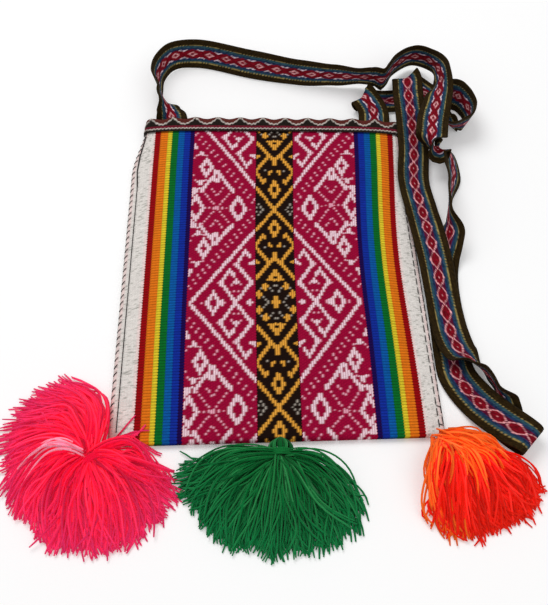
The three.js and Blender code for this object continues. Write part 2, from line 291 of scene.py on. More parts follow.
def skew(x, y):
    """How far the cloth is shifted along y: its bottom and its mouth slope opposite ways."""
    return x / LEFT_SIDE * mix(BOTTOM_SKEW, MOUTH_SKEW, (y - BOTTOM_Y) / POUCH_LENGTH)


def waist(x, y):
    """How far the weave is drawn to the left, more and more from its left edge to its right edge."""
    from_left = (x + STRIPE_EDGE) / (2 * STRIPE_EDGE)
    return -WAIST * from_left ** 2 * np.exp(-((y - WAIST_Y) / WAIST_REACH) ** 2)


def cloth_point(place, y, face):
    """Points of the cloth: place is ("at", x), ("margin", sign, share) or ("edge", sign, angle)."""
    half, middle, puff, left, right, square = section(y)
    if place[0] == "edge":
        _, sign, angle = place
        flank = left if sign < 0 else right
        return sign * (flank + half * math.cos(angle)), middle + face * half * math.sin(angle)
    if place[0] == "at":
        x = place[1] + waist(place[1], y)
    else:
        _, sign, share = place
        inner = sign * STRIPE_EDGE + waist(sign * STRIPE_EDGE, y)
        x = mix(inner, sign * (left if sign < 0 else right), share)
    rise = crown(x, np.where(x < 0, left, right), puff, square) if face > 0 else 0
    return x, middle + face * half + rise


def half_columns():
    """Columns of the cloth from its centre line to its side, each with its region, its number in the
    region, and the places of its inner edge, its crest and its outer edge."""
    columns = []

    def add(region, count, edge):
        for number in range(count):
            columns.append((region, number, [edge((number + cut) / count) for cut in (0, 0.5, 1)]))

    add("centre", CENTRE_COLUMNS, lambda f: ("at", f * CENTRE_HALF))
    add("panel", PANEL_COLUMNS, lambda f: ("at", mix(CENTRE_HALF, PANEL_EDGE, f)))
    start = PANEL_EDGE
    for width, name in STRIPES:
        add(name, round(width / STRIPE_COLUMN), lambda f, a=start, w=width: ("at", a + f * w))
        start += width
    add("white", WHITE_COLUMNS, lambda f: ("margin", 1, f))
    add("white", EDGE_COLUMNS, lambda f: ("edge", 1, (1 - f) * math.pi / 2))
    return columns


def mirrored(place):
    kind, first, *rest = place
    return kind, -first, *rest


# Pattern of the cloth, drawn in columns from the centre line and picks from the nearest crossing of the
# great lattice. It mirrors about the centre line and about every crossing and turning. Strokes have two
# ends and a half height, rings a middle, a size and a hole, and bars a column, a pick and a half height.
HALF_FLOAT = 0.55
STROKE_OVERRUN = 0.6
SPIKE_HALF = 1.9
NEAR_DOT = 0.36
LATTICE = [((0, 0), (HALF_REPEAT, HALF_REPEAT), 0.95)]
STAR_COLUMN = 27
STAR_STROKES = [((STAR_COLUMN, 14.3), (34.3, 7), 1), ((STAR_COLUMN, 14.3), (19.7, 7), 1)]
STAR_RINGS = [
    ((16.9, 0), (4.4, 5.7), 0.57),
    ((36.6, 0), (4.4, 5.7), 0.57),
    ((32.3, 16.3), (3.5, 4.4), 0.42),
]
STAR_BLOCK = ((STAR_COLUMN, 12.6), (1.6, 2.5))
STAR_HOLE = ((STAR_COLUMN, 12.8), (0.6, 0.8))
STAR_CROSS_REACH = 6.6
STAR_ROW_REACH = 6
STAR_ROOF_FROM = 4.8
STAR_ROOF_SLOPE = 1.1
STAR_ROOF_REACH = 2.7
EVEN_DOTS_OFF = 5.6
ODD_DOTS_OFF = 7.6
HOOK_RINGS = [((27.4, HALF_REPEAT), (3.9, 4.7), 0.5)]
HOOK_STROKES = [
    ((17.6, 0), (23.8, 7.4), 1),
    ((24.2, 7.6), (20.3, 12.4), 1),
    ((20.3, 12.4), (18.6, 10.6), 0.9),
    ((17.6, 0), (11, 7.4), 1),
    ((10.6, 7.6), (17, 14.6), 1),
    ((17.4, 14.8), (13.5, 20), 1),
    ((13.5, 20), (11.6, 18), 0.9),
]
HOOK_BARS = [
    (23.5, 0, 1.1), (11.5, 0, 1.2), (10.5, 0, 0.5), (12.5, 0, 0.4), (17.5, 8.2, 1.1),
    (16.5, 7.8, 0.5), (18.5, 7.8, 0.5), (11.5, 15, 0.5), (10.5, 15.4, 0.6), (9.5, 16, 1),
]
HOOK_DOTS = [
    (22.5, 0), (32.5, 0), (19.5, 7), (15.5, 7.2),
    (18.5, 4.3), (16.5, 4.3), (25.5, 7.5), (18.5, 14.7),
]
BORDER_WEDGES = [((39, 24.3), (2.6, 3.6)), ((39, 8), (4.2, -4.4))]
BORDER_SPIKES = [((35, 21.4), 2.5), ((35, 11), -2.7)]
BORDER_DOTS = [(37.5, 21.4), (32.5, 21.4), (38.5, 20.2), (37.5, 11), (32.5, 11), (38.5, 13), (11.5, 0)]
GOLD_STROKES = [
    ((9, 15.2), (5.2, 10.6), 1),
    ((5.2, 10.8), (4.2, 11.8), 0.8),
    ((9, 15.2), (3.3, 21.3), 1),
    ((9, 28.6), (0, 19.8), 1),
]
GOLD_RINGS = [((0, 7.9), (2.9, 4.4), 0.44)]
GOLD_BARS = [(0.5, 18.6, 0.9), (1.5, 15.2, 0.5), (2.5, 14.8, 0.9), (8.5, 21.8, 0.7), (7.5, 21.9, 0.4)]
GOLD_DIAMONDS = [((0, HALF_REPEAT), (1.9, 3.3)), ((4.7, 31.4), (1.7, 1.8)), ((7.5, 34.5), (1.8, 1.8))]
GOLD_TRIANGLE = (24.2, 29.2)
TRIANGLE_SLOPE = 0.8
TRIANGLE_SLIT = ((0, 27.9), (0.6, 0.5))
SPECKS = [(4.5, 15.6), (0.5, 31), (1.5, 33.2), (3.5, 37.4), (4.5, 36.4), (5.5, 35.3), (6.5, 32.2),
          (2.5, 32.2), (7.5, 2), (8.5, 0.9), (6.5, 0.9), (5.5, 0)]


def stroke(c, r, start, end, half):
    """A slanting line of upright floats."""
    share = np.clip((c - start[0]) / (end[0] - start[0]), 0, 1)
    low, high = sorted((start[0], end[0]))
    inside = (c > low - STROKE_OVERRUN) & (c < high + STROKE_OVERRUN)
    return inside & (np.abs(r - mix(start[1], end[1], share)) < half)


def ring(c, r, centre, size, hole=0):
    reach = np.abs(c - centre[0]) / size[0] + np.abs(r - centre[1]) / size[1]
    return (reach > hole) & (reach <= 1)


def block(c, r, centre, half):
    return (np.abs(c - centre[0]) < half[0]) & (np.abs(r - centre[1]) < half[1])


def bar(c, r, column, pick, half):
    return block(c, r, (column, pick), (HALF_FLOAT, half))


def wedge(c, r, corner, size):
    """A right triangle against the border of the panel."""
    inward = (corner[0] - c) / size[0]
    upward = (r - corner[1]) / size[1]
    return (inward >= 0) & (upward >= 0) & (inward + upward <= 1)


def spike(c, r, base, height):
    upward = (r - base[1]) / height
    return (upward >= 0) & (np.abs(c - base[0]) < SPIKE_HALF * (1 - upward))


def near(distance):
    return np.abs(distance) < NEAR_DOT


def any_of(masks):
    return np.logical_or.reduce(list(masks))


def panel_floats(c, r, odd):
    """Where the pattern panel shows white floats, and where small dots; odd is for every second column."""
    hook = HALF_REPEAT - r
    off_star = np.abs(c - STAR_COLUMN)
    white = any_of([
        *(stroke(c, r, *line) for line in LATTICE + STAR_STROKES),
        *(ring(c, r, *shape) for shape in STAR_RINGS + HOOK_RINGS),
        *(stroke(c, hook, *line) for line in HOOK_STROKES),
        *(bar(c, hook, *shape) for shape in HOOK_BARS),
        *(wedge(c, r, *shape) for shape in BORDER_WEDGES),
        *(spike(c, r, *shape) for shape in BORDER_SPIKES),
        block(c, r, *STAR_BLOCK),
    ])
    white &= ~block(c, r, *STAR_HOLE)
    dots = any_of([
        (not odd) & near(c - r - EVEN_DOTS_OFF),
        odd & near(c - r - ODD_DOTS_OFF),
        near(r - off_star) & (off_star < STAR_CROSS_REACH),
        near(r - STAR_ROOF_FROM - STAR_ROOF_SLOPE * off_star) & (off_star < STAR_ROOF_REACH),
        odd & near(r) & (off_star < STAR_ROW_REACH),
        *(bar(c, hook, *dot, NEAR_DOT) for dot in HOOK_DOTS),
        *(bar(c, r, *dot, NEAR_DOT) for dot in BORDER_DOTS),
    ])
    return white, dots & ~white


def centre_floats(c, r, odd):
    """Where the centre panel shows gold floats, and where pale specks; both kinds of column are alike."""
    low, high = GOLD_TRIANGLE
    triangle = (r > low) & (r < high) & (c < TRIANGLE_SLOPE * (r - low))
    gold = any_of([
        *(stroke(c, r, *line) for line in LATTICE + GOLD_STROKES),
        *(ring(c, r, *shape) for shape in GOLD_RINGS + GOLD_DIAMONDS),
        *(bar(c, r, *shape) for shape in GOLD_BARS),
        triangle & ~block(c, r, *TRIANGLE_SLIT),
    ])
    specks = any_of(bar(c, r, *speck, NEAR_DOT) for speck in SPECKS)
    return gold, specks & ~gold


def picks_at(y):
    """Picks along the cloth from a crossing of the lattice; the weave is looser towards the mouth."""
    return np.interp(y, PICK_PLACES, PICK_COUNTS)


def pick_bow(picks, c, on_left):
    """How far the pattern of the side panels is drawn away from the middle of the pouch, in picks."""
    bow = LEFT_BOW if on_left else RIGHT_BOW
    share = min(max(c - CENTRE_COLUMNS, 0) / (STAR_COLUMN - CENTRE_COLUMNS), 1)
    return bow * share * np.clip(picks / HALF_REPEAT - 1, -1, 1) ** 3


def cloth_rows(rows_per_pick):
    """Places along the pouch from its fold to its mouth, close together round the fold."""
    fold = BOTTOM_Y + FOLD * (1 - np.cos(np.linspace(0, math.pi / 2, FOLD_ROWS)))
    first = math.ceil(picks_at(fold[-1] + ROW_GAP) * rows_per_pick)
    last = math.floor(picks_at(MOUTH_Y - RIM_GAP) * rows_per_pick)
    picks = np.arange(first, last + 1) / rows_per_pick
    return np.concatenate([fold, np.interp(picks, PICK_COUNTS, PICK_PLACES)])


def weft_ribs(picks, number):
    """Height of the weft ribs from 0 to 1; every second column is half a rib further on."""
    return 0.5 - 0.5 * np.cos(2 * math.pi * (picks + 0.5 * (number % 2)))


# Floats of each patterned region, and the colours of its ground, floats and dots
WEAVES = {
    "panel": (panel_floats, "crimson", "pattern_white", "pattern_dot"),
    "centre": (centre_floats, "black", "gold", "speck"),
}


def pattern_look(region, number, x, picks, rng):
    """Colour along the crest of a patterned column, colour beside it darkened with painted shade, and
    height of the crest.
    """
    shade = rng.normal(1, SHADE_SPREAD, len(picks))[:, None]
    floats, ground_name, over_name, spot_name = WEAVES[region]
    ground = linear(ground_name)
    c = abs(x) / COLUMN
    bowed = picks - pick_bow(picks, c, on_left=x < 0)
    r = np.abs((bowed + HALF_REPEAT) % REPEAT - HALF_REPEAT) + rng.uniform(-COLUMN_SLIP, COLUMN_SLIP)
    over, spots = floats(np.full_like(r, c), r, odd=number % 2 == 1)
    rib = weft_ribs(picks, number)
    # the ground is darker in the rib valleys and lighter on the rib tops: painted shade and painted light
    crest = painted(ground * mix(*GROUND_RIB_LIGHTING, rib)[:, None], spots, spot_name)
    crest = painted(crest, over, over_name)
    furrow_shade = np.tile(ground * PATTERN_FURROW_SHADE, (len(picks), 1))
    return crest * shade, furrow_shade, np.where(over | spots, 1, mix(*GROUND_HEIGHTS, rib))


def plain_look(region, number, picks, rng):
    """The same for a column of one colour: a stripe, or the flecked white of the borders."""
    shade = rng.normal(1, SHADE_SPREAD, len(picks))[:, None]
    # stripes and white are darker in the rib valleys and lighter on the rib tops: painted shade and painted
    # light
    if region == "white":
        rib = weft_ribs(picks, number)
        name = "blush" if number == 0 else "white"
        crest = linear(name) * mix(*WHITE_RIB_LIGHTING, rib)[:, None] * shade
        crest = painted(crest, rng.random(len(picks)) < FLECKED, "fleck")
    else:
        rib = weft_ribs(picks, 0)
        crest = linear(region) * mix(*STRIPE_RIB_LIGHTING, rib)[:, None] * shade
    return crest, crest * PLAIN_FURROW_SHADE, rib


def cloth_sheet(name, face, rows_per_pick, seed):
    """One side of the pouch: face is 1 for the front and -1 for the back, where the cloth goes on past
    the fold."""
    rng = np.random.default_rng(seed)
    y = cloth_rows(rows_per_pick)
    picks = picks_at(y) if face > 0 else 2 * picks_at(BOTTOM_Y) - picks_at(y)
    half = half_columns()
    columns = [(region, number, [mirrored(edge) for edge in edges[::-1]])
               for region, number, edges in reversed(half)]
    columns += half
    zigzag = ZIGZAG * (2 * weft_ribs(picks, 0) - 1)
    striped = {colour for _, colour in STRIPES}
    lines, colours = [], []

    def add_line(place, colour, height, shift):
        x, z = cloth_point(place, y, face)
        lines.append(np.stack([x + shift, y + skew(x, y), z + face * RELIEF * (height - 1)], axis=-1))
        colours.append(colour)

    last_region = None
    for region, number, edges in columns:
        if region in WEAVES:
            crest, furrow_shade, height = pattern_look(region, number, edges[1][1], picks, rng)
        else:
            crest, furrow_shade, height = plain_look(region, number, picks, rng)
        shift = zigzag if region in striped else 0
        if region == last_region:
            # where two columns meet, a mix of the painted furrow shade and the yarns' colour
            between = mix((furrow_shade + last_furrow_shade) / 2, (crest + last_crest) / 2, YARN_SHOWN_BETWEEN)
            add_line(edges[0], between, 0, shift)
        else:
            if last_region:
                add_line(edges[0], last_furrow_shade, 0, zigzag - BORDER_GAP)
            add_line(edges[0], furrow_shade, 0, zigzag + BORDER_GAP if last_region else 0)
        add_line(edges[1], crest, height, shift)
        last_region, last_crest, last_furrow_shade = region, crest, furrow_shade
    add_line(columns[-1][2][-1], last_furrow_shade, 0, 0)
    faces = grid_faces(len(y), len(lines))
    if face < 0:
        faces = faces[:, ::-1]
    return make_object(name, np.stack(lines, axis=1), faces, np.stack(colours, axis=1), cloth_finish)


pouch_front = cloth_sheet("pouch_front", 1, FRONT_ROWS_PER_PICK, SEED)
pouch_back = cloth_sheet("pouch_back", -1, BACK_ROWS_PER_PICK, SEED + 1)
for piece in (pouch_front, pouch_back):
    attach(piece, "root")
    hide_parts("pouch_body")


# Strap: the route of its middle and the direction of its width, as an azimuth and a tilt in degrees.
# Between two rows of the route the strap shows its other face.
STRAP_WIDTH = 22
STRAP_THICKNESS = 1.4
STRAP_STEP = 1.1
STRAP_FACES = 40
STRAP_SQUARENESS = 14
STRAP_TURNS_OVER_AT = (24, 65)
STRAP_ROUTE = [
    [-73, 97, 4.2, 0, 0], [-73, 126, 5, 0, 0], [-75.5, 134, 8.2, 0, -36],
    [-79.5, 141, 11.4, 4, -68], [-82, 148, 11.8, 0, -86], [-85, 161.5, 11.6, -6, -72],
    [-83.5, 173, 11.6, -22, -72], [-75, 185.5, 11.4, -56, -72], [-56, 188.5, 11, -92, -68],
    [-16, 176.5, 11, -97, -68], [19, 167, 11.4, -97, -81], [44, 163, 12.4, -96, -94],
    [62, 160, 14, -92, -108], [72, 157.5, 15.4, -74, -104], [78, 154.5, 16, -36, -95],
    [82, 159.5, 16, -14, -92], [88.5, 171, 15, -32, -95], [102.5, 180.5, 14.5, -88, -98],
    [115, 172.5, 17, -143, -95], [120, 153.5, 20.3, 178, -66], [115, 131, 20.5, 163, -28],
    [109.5, 110.5, 20, 163, -4], [107, 95.5, 20.5, 163, 0], [106.5, 90, 18, 109, -54],
    [110.5, 85.5, 15.5, 55, 0], [117.5, 86, 13.8, 40, -50], [120, 71.5, 10.8, 12, -52],
    [116, 52, 11.6, 0, -76], [113, 33, 11.8, -10, -90], [112.4, 17.5, 7.4, 168, -36],
    [107.5, 6, 3.6, 176, -12], [105, -5, 1.8, 182, 0], [104, -16.5, 1, 188, 0],
    [104.5, -50.5, 1, 190, 0], [104.6, -70, 1.8, 198, 0], [106, -85, 3.8, 210, -12],
    [115, -103, 6.8, 226, -24], [127.5, -118.5, 10.8, 232, -16], [140, -129.5, 12.5, 228, 0],
    [141.5, -131, 10.5, 228, 0], [140, -129.5, 8.5, 228, 0], [130.5, -115.5, 3.6, 212, -10],
    [128, -105, 8, 200, -42], [126, -96.5, 11.4, 30, -76], [122.3, -88, 11.6, 30, -76],
    [116.3, -80, 10.4, 25, -56], [109, -70, 7, 20, -8], [105.5, -56.5, 4.6, 15, 0],
    [103, -29.5, 4.6, 13, -4], [101, -2, 7.4, 13, 0], [98.5, 21.5, 7.8, 14, 0],
    [96, 42.5, 7, 12, -6], [93.5, 66, 7, 4, -9], [96, 93.5, 7, 2, -10],
    [96.5, 121.5, 10, 4, -3], [96, 144.5, 12.6, 5, 0], [96.5, 157.5, 13, 5, 0],
    [96.5, 160, 10.9, 28, 24], [99, 159, 8.8, 52, 0], [111.5, 145.5, 6.9, 53, 0],
    [118.5, 125, 6.2, 75, -8], [125, 114, 10.2, 108, -52], [134, 115, 11.6, 150, -72],
    [138.5, 125, 11.6, 190, -74], [134.8, 138.5, 11, 250, -60], [130.5, 145.5, 9, 264, -40],
    [124.5, 150, 5.6, 270, -16], [117, 151.5, 2.4, 275, -3], [107, 151, 1.3, 275, 0],
    [83, 146.5, 1.9, 268, 0], [66.5, 146, 4.6, 260, 0], [64, 146, 6.6, 238, -22],
    [65, 143.5, 8.6, 215, 0], [70.5, 134, 5.8, 206, 0], [70.5, 117, 4.6, 182, 0],
    [70, 96, 3.8, 180, 0],
]


def centripetal_point(p0, p1, p2, p3, share):
    """Point and tangent of a centripetal Catmull-Rom span from p1 to p2."""
    before, span, after = (np.linalg.norm(b - a) ** 0.5 for a, b in ((p0, p1), (p1, p2), (p2, p3)))
    start = ((p1 - p0) / before - (p2 - p0) / (before + span) + (p2 - p1) / span) * span
    end = ((p2 - p1) / span - (p3 - p1) / (span + after) + (p3 - p2) / after) * span
    square = -3 * p1 + 3 * p2 - 2 * start - end
    cube = 2 * p1 - 2 * p2 + start + end
    point = p1 + start * share + square * share ** 2 + cube * share ** 3
    tangent = start + 2 * square * share + 3 * cube * share ** 2
    return point, tangent


def strap_stations():
    """Middles, width directions and faces along the strap, and which stretch of the route each is on."""
    route = np.array(STRAP_ROUTE, dtype=float)
    middles = route[:, :3]
    azimuth, tilt = np.radians(route[:, 3:]).T
    level = np.cos(tilt)
    widths = np.stack([np.cos(azimuth) * level, np.sin(azimuth) * level, np.sin(tilt)], axis=-1)
    padded = np.vstack([2 * middles[0] - middles[1], middles, 2 * middles[-1] - middles[-2]])
    points, across, tangents, spans = [], [], [], []
    for span in range(len(middles) - 1):
        steps = max(2, math.ceil(np.linalg.norm(middles[span + 1] - middles[span]) / STRAP_STEP))
        for step in range(steps):
            share = step / steps
            point, tangent = centripetal_point(*padded[span:span + 4], share)
            points.append(point)
            tangents.append(tangent)
            across.append(mix(widths[span], widths[span + 1], smooth(share, 0, 1)))
            spans.append(span)
    points, tangents, across = np.array(points), unit(np.array(tangents)), np.array(across)
    across = unit(across - (across * tangents).sum(axis=1, keepdims=True) * tangents)
    return points, across, np.cross(across, tangents), np.array(spans)


# Faces of the strap: places across it, and half widths and half lengths of its figures
STRAP_LINE_AT = 6.5
STRAP_LINE_HALF = 0.45
TEAL_FROM = 4.6
BEAD_PITCH = 2.2
BEAD_CUT = -0.5
CHAIN_PITCH = 13
CHAIN_HALF = 3
CHAIN_LINE_HALF = 0.34
LINK_DOT = (0.3, 0.5)
RED_HALF = 2.3
RED_FLARE = 0.2
DIAMOND = (2.0, 3.4)
DIAMOND_HOLE = 0.5
DASH_AT = 2.5
DASH_SLANT = 0.3
DASH = (0.36, 3.2)
YARN_RIDGE = 0.12
BEAT_HEIGHT = 0.06
STRAP_SPECKLE = 0.3
STRAP_LIMITS = (0.4, 1.7)


def strap_ground(w, s):
    """Lengthwise stripes of the strap, from its middle to its edges."""
    colour = painted(linear("strap_brown"), w < STRAP_LINE_AT, "strap_blue")
    colour = painted(colour, (w > TEAL_FROM) & (w < STRAP_LINE_AT), "strap_teal")
    beads = np.sin(2 * math.pi * s / BEAD_PITCH) > BEAD_CUT
    return painted(colour, (np.abs(w - STRAP_LINE_AT) < STRAP_LINE_HALF) & beads, "strap_line")


def strap_faces(w, s):
    """Colours of the strap's faces at w from its middle and s along it: a chain of rounded links between
    two crossing pink lines, and small separate diamonds with pale dashes between them on both sides."""
    ground = strap_ground(w, s)
    off_middle = np.abs(s % CHAIN_PITCH - CHAIN_PITCH / 2)
    swing = CHAIN_HALF * np.cos(math.pi * off_middle / CHAIN_PITCH)
    chain = painted(ground, w < CHAIN_HALF, "strap_purple")
    chain = painted(chain, w < swing, "strap_maroon")
    chain = painted(chain, np.abs(w - swing) < CHAIN_LINE_HALF, "strap_pink")
    chain = painted(chain, (w < LINK_DOT[0]) & (off_middle < LINK_DOT[1]), "strap_pink")
    off_dash = CHAIN_PITCH / 2 - off_middle
    reach = w / DIAMOND[0] + off_middle / DIAMOND[1]
    dash = (np.abs(w - DASH_AT - DASH_SLANT * off_dash) < DASH[0]) & (off_dash < DASH[1])
    diamonds = painted(ground, w < RED_HALF + RED_FLARE * off_dash, "strap_maroon")
    diamonds = painted(diamonds, (reach < 1) & (reach > DIAMOND_HOLE), "strap_pink")
    return chain, painted(diamonds, dash, "strap_white")


def make_strap():
    rng = np.random.default_rng(SEED + 2)
    points, across, face, spans = strap_stations()
    along = np.concatenate([[0], np.cumsum(np.linalg.norm(np.diff(points, axis=0), axis=1))])
    half = STRAP_WIDTH / 2
    w = np.linspace(-half, half, STRAP_FACES + 1)
    line = np.arange(STRAP_FACES + 1)
    ridge = np.where(line % 2 == 1, YARN_RIDGE, 0)
    beat = BEAT_HEIGHT * np.sin(math.pi * along / STRAP_STEP)[:, None] * np.where(line % 4 < 2, 1, -1)
    rounding = np.sqrt(1 - (w / half) ** STRAP_SQUARENESS)
    height = (STRAP_THICKNESS / 2 - YARN_RIDGE + ridge + beat) * rounding
    middle = points[:, None] + across[:, None] * w[:, None]
    upper = middle + face[:, None] * height[..., None]
    lower = middle - face[:, None] * height[..., None]
    rings = np.concatenate([upper, lower[:, -2:0:-1]], axis=1)
    first, second = STRAP_TURNS_OVER_AT
    turned = ((spans >= first) & (spans < second))[:, None, None]
    chain, diamonds = strap_faces(np.abs(w)[None], along[:, None])
    top = np.where(turned, chain, diamonds)
    under = np.where(turned, diamonds, chain)[:, -2:0:-1]
    colours = speckled(rng, np.concatenate([top, under], axis=1), STRAP_SPECKLE, STRAP_LIMITS)
    count = rings.shape[1]
    faces = grid_faces(len(points), count, closed=True)[:, ::-1].tolist()
    faces.append(list(range(count)))
    faces.append(list(range(len(points) * count - 1, (len(points) - 1) * count - 1, -1)))
    return make_object("strap_band", rings, faces, colours, strap_finish), along[-1]


strap_band, strap_length = make_strap()
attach(strap_band, "root")
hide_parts("strap")


# Tubes of yarn
TUBE_SIDES = 4
TUBE_END = 0.7
# share of the way to the tip colour at a strand's end: painted light
TIP_LIGHT_SHARE = 0.7
STEEP = 0.9


def tubes(name, paths, radii, colours, material, lit_tips=None):
    """One mesh of round strands: paths has strands, points and xyz; each strand has a radius and a colour,
    which may turn towards a tip colour, painted light on its thin end."""
    strands, steps, _ = paths.shape
    tangents = unit(np.gradient(paths, axis=1))
    guide = np.where(np.abs(tangents[..., 2:]) > STEEP, [1.0, 0.0, 0.0], [0.0, 0.0, 1.0])
    side = unit(np.cross(guide, tangents))
    lift = np.cross(tangents, side)
    turns = np.arange(TUBE_SIDES) / TUBE_SIDES
    angles = 2 * math.pi * turns
    taper = np.ones(steps)
    taper[-1] = TUBE_END
    spread = (np.asarray(radii)[:, None] * taper)[..., None, None]
    rings = paths[:, :, None] + spread * (
        np.cos(angles)[:, None] * side[:, :, None] + np.sin(angles)[:, None] * lift[:, :, None])
    lengths = np.linalg.norm(np.diff(paths, axis=1), axis=2)
    along = np.concatenate([np.zeros((strands, 1)), np.cumsum(lengths, axis=1)], axis=1)
    uvs = np.stack(np.broadcast_arrays(along[..., None], turns), axis=-1)
    one = grid_faces(steps, TUBE_SIDES, closed=True)
    size = steps * TUBE_SIDES
    faces = (one[None] + size * np.arange(strands)[:, None, None]).reshape(-1, 4).tolist()
    for first in range(0, strands * size, size):
        faces.append(list(range(first + TUBE_SIDES - 1, first - 1, -1)))
        faces.append(list(range(first + size - TUBE_SIDES, first + size)))
    lit_tips = colours if lit_tips is None else lit_tips
    # painted light: towards its end a strand turns towards its tip colour
    tip_lit_colours = mix(colours[:, None], lit_tips[:, None], TIP_LIGHT_SHARE * np.linspace(0, 1, steps)[:, None] ** 2)
    return make_object(name, rings, faces, np.repeat(tip_lit_colours, TUBE_SIDES, axis=1), material, uvs)


# Tassels: locks of strands in layers, each strand with waves of its own
STRAND_STEPS = 14
STRAND_RADIUS = 0.55
RADIUS_RANGE = (0.85, 1.15)
OUTLINE_STEPS = 200
LOCK_BEND = 14
LOCK_WAVE = 3
LOCK_RISE = 20
LOCK_REACHES = (0.92, 1)
LEAVING_SHARE = 0.6
TOP_LAYER_REACH = 0.86
RISE_SHARES = (0.1, 0.8)
FALL_HEIGHTS = (1, LOCK_RISE / 2)
LAYER_HEIGHTS = (9, 2)
REACH_SPREAD = 2
SIDE_SPREAD = 3.5
ROOT_SPREAD = 1.6
STRAND_WAVE = 0.9
STRAYS = 0.08
STRAY_WAVE = 6
WAVE_TURNS = (0.5, 1.3)
WAVE_SIZE = 1.6
BRIGHTNESS_SPREAD = 0.26
BRIGHTNESS_LIMITS = (0.6, 1.7)
# white added to the brighter strands: painted highlight
HIGHLIGHT_PALENESS = 0.06
# lower layers of a tassel darker and the top layer lighter: painted shade and painted light
LAYER_LIGHT_AND_SHADE = (0.78, 1.12)
HEAD_STRANDS = 34
HEAD_JITTER = 0.1
HEAD_RADII = (0.1, 0.8)
HEAD_BULGE = 0.6
TIE_TURNS = 4
TIE_STEPS = 24
TIE_WIDTH = 4
TIE_RADIUS = 0.7

# The end of the strap, which lies under the orange tassel: its run, its heights and how it falls away
STRAP_END = np.array([[112, -98], [141.5, -131]])
STRAP_END_HEIGHTS = (9, 14)
STRAP_END_WIDTHS = (7, 13)


def floor_under(points):
    """Height of what lies under each point: the pouch, the strap's end or the floor."""
    x, y = points[..., 0], points[..., 1]
    half, middle, puff, left, right, square = section(np.clip(y, BOTTOM_Y, MOUTH_Y))
    flank = np.where(x < 0, left, right)
    over = (y > BOTTOM_Y + skew(x, BOTTOM_Y)) & (np.abs(x) < flank + half)
    pouch = np.where(over, middle + half + crown(x, flank, puff, square), 0)
    run = STRAP_END[1] - STRAP_END[0]
    along = np.clip((points[..., :2] - STRAP_END[0]) @ run / (run @ run), 0, 1)
    away = np.linalg.norm(points[..., :2] - STRAP_END[0] - along[..., None] * run, axis=-1)
    strap = mix(*STRAP_END_HEIGHTS, along) * (1 - smooth(away, *STRAP_END_WIDTHS))
    return np.maximum(pouch, strap)


def slow_waves(rng, shape, t):
    """Sideways waves that grow along a strand."""
    turns = rng.uniform(*WAVE_TURNS, shape)
    start = rng.random(shape)
    return rng.uniform(-WAVE_SIZE, WAVE_SIZE, shape) * t * np.sin(2 * math.pi * (turns * t + start))


def mop(rng, locks, strands, layers, roots, outline):
    """Locks of yarn that start between two roots, arch over and lie on one another as far as an outline,
    and the layer of each strand. The outline has azimuths in degrees, how far the yarn reaches there and
    how many degrees to one side it leaves its root."""
    azimuths, reaches, leans = np.array(outline, dtype=float).T
    fine = np.linspace(azimuths[0], azimuths[-1], OUTLINE_STEPS)
    filled = np.cumsum(np.interp(fine, azimuths, reaches))
    turn = np.interp((np.arange(locks) + rng.random(locks)) / locks, filled / filled[-1], fine)
    layer = mix(*layers, rng.permutation(locks) / locks)
    bend = rng.normal(0, LOCK_BEND, locks)
    reach = np.interp(turn, azimuths, reaches) * mix(1, TOP_LAYER_REACH, layer)
    reach = reach * rng.uniform(*LOCK_REACHES, locks)
    turn, layer, bend, reach = (np.repeat(each, strands)[:, None] for each in (turn, layer, bend, reach))
    t = np.linspace(0, 1, STRAND_STEPS)
    one_each = (locks * strands, 1)
    stray = rng.random(one_each) < STRAYS
    reach = reach + rng.normal(0, REACH_SPREAD, one_each)
    lean = np.radians(np.interp(turn, azimuths, leans))
    early = 2 * t * (1 - t) * LEAVING_SHARE * reach
    out = reach * t ** 2 + early * np.cos(lean)
    side = early * np.sin(lean) + bend * t * (1 - t) + rng.normal(0, SIDE_SPREAD, one_each) * t
    side = side + LOCK_WAVE * np.repeat(slow_waves(rng, (locks, 1), t), strands, axis=0)
    side = side + np.where(stray, STRAY_WAVE, STRAND_WAVE) * slow_waves(rng, one_each, t)
    start_share = (turn - azimuths[0]) / (azimuths[-1] - azimuths[0])
    x, y, z = (mix(low, high, start_share) for low, high in zip(*roots))
    angle = np.radians(turn)
    rise = z + LOCK_RISE * mix(*RISE_SHARES, layer)
    fall = mix(*FALL_HEIGHTS, layer)
    height = (1 - t) ** 3 * z + 3 * (1 - t) ** 2 * t * rise + 3 * (1 - t) * t ** 2 * fall
    paths = np.stack([x + out * np.cos(angle) - side * np.sin(angle),
                      y + out * np.sin(angle) + side * np.cos(angle), height], axis=-1)
    paths = paths + rng.normal(0, ROOT_SPREAD, (locks * strands, 1, 3))
    lowest = floor_under(paths) + STRAND_RADIUS + layer * mix(*LAYER_HEIGHTS, t)
    paths[..., 2] = np.maximum(paths[..., 2], lowest)
    return paths, layer


def winding(centre, azimuth, radius):
    """A yarn wound round a tassel's waist."""
    turn = math.radians(azimuth)
    along = np.array([math.cos(turn), math.sin(turn), 0])
    across = np.array([-along[1], along[0], 0])
    t = np.linspace(0, 1, TIE_STEPS * TIE_TURNS)
    angle = 2 * math.pi * TIE_TURNS * t
    circle = across * np.cos(angle)[:, None] + np.array([0, 0, 1.0]) * np.sin(angle)[:, None]
    return centre + circle * radius + along * (TIE_WIDTH * (t - 0.5))[:, None]


